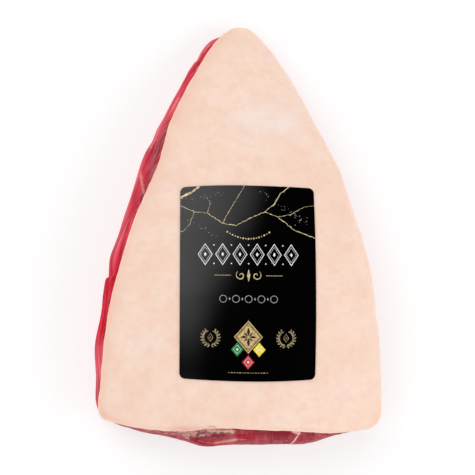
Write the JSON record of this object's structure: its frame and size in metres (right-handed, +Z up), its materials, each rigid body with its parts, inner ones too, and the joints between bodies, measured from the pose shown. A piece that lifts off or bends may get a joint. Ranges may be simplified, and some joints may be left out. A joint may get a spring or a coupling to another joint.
{
  "type": "raw picanha",
  "caption": "Raw rump cap of beef: a domed triangular cut lying on its lean side, with a thick fat cap on top and a thin black sticker on the fat.",
  "frame": {"origin": "middle of the cut's outer box, on the surface that it lies on", "axes": "+Y from the butt end to the tip, +X across to the right with the tip away from the viewer, +Z up through the fat cap"},
  "size_m": [0.1916, 0.2892, 0.0516],
  "materials": {
    "lean": "wet, crimson, with a fine muscle grain and pale streaks",
    "fat_cap": "soft peach-cream fat, satin, softly mottled",
    "label": "black satin film with gold, white and grey ornament"
  },
  "bodies": {
    "root": {"lean": "lean", "fat_cap": "fat_cap", "label": "label"}
  },
  "joints": []
}
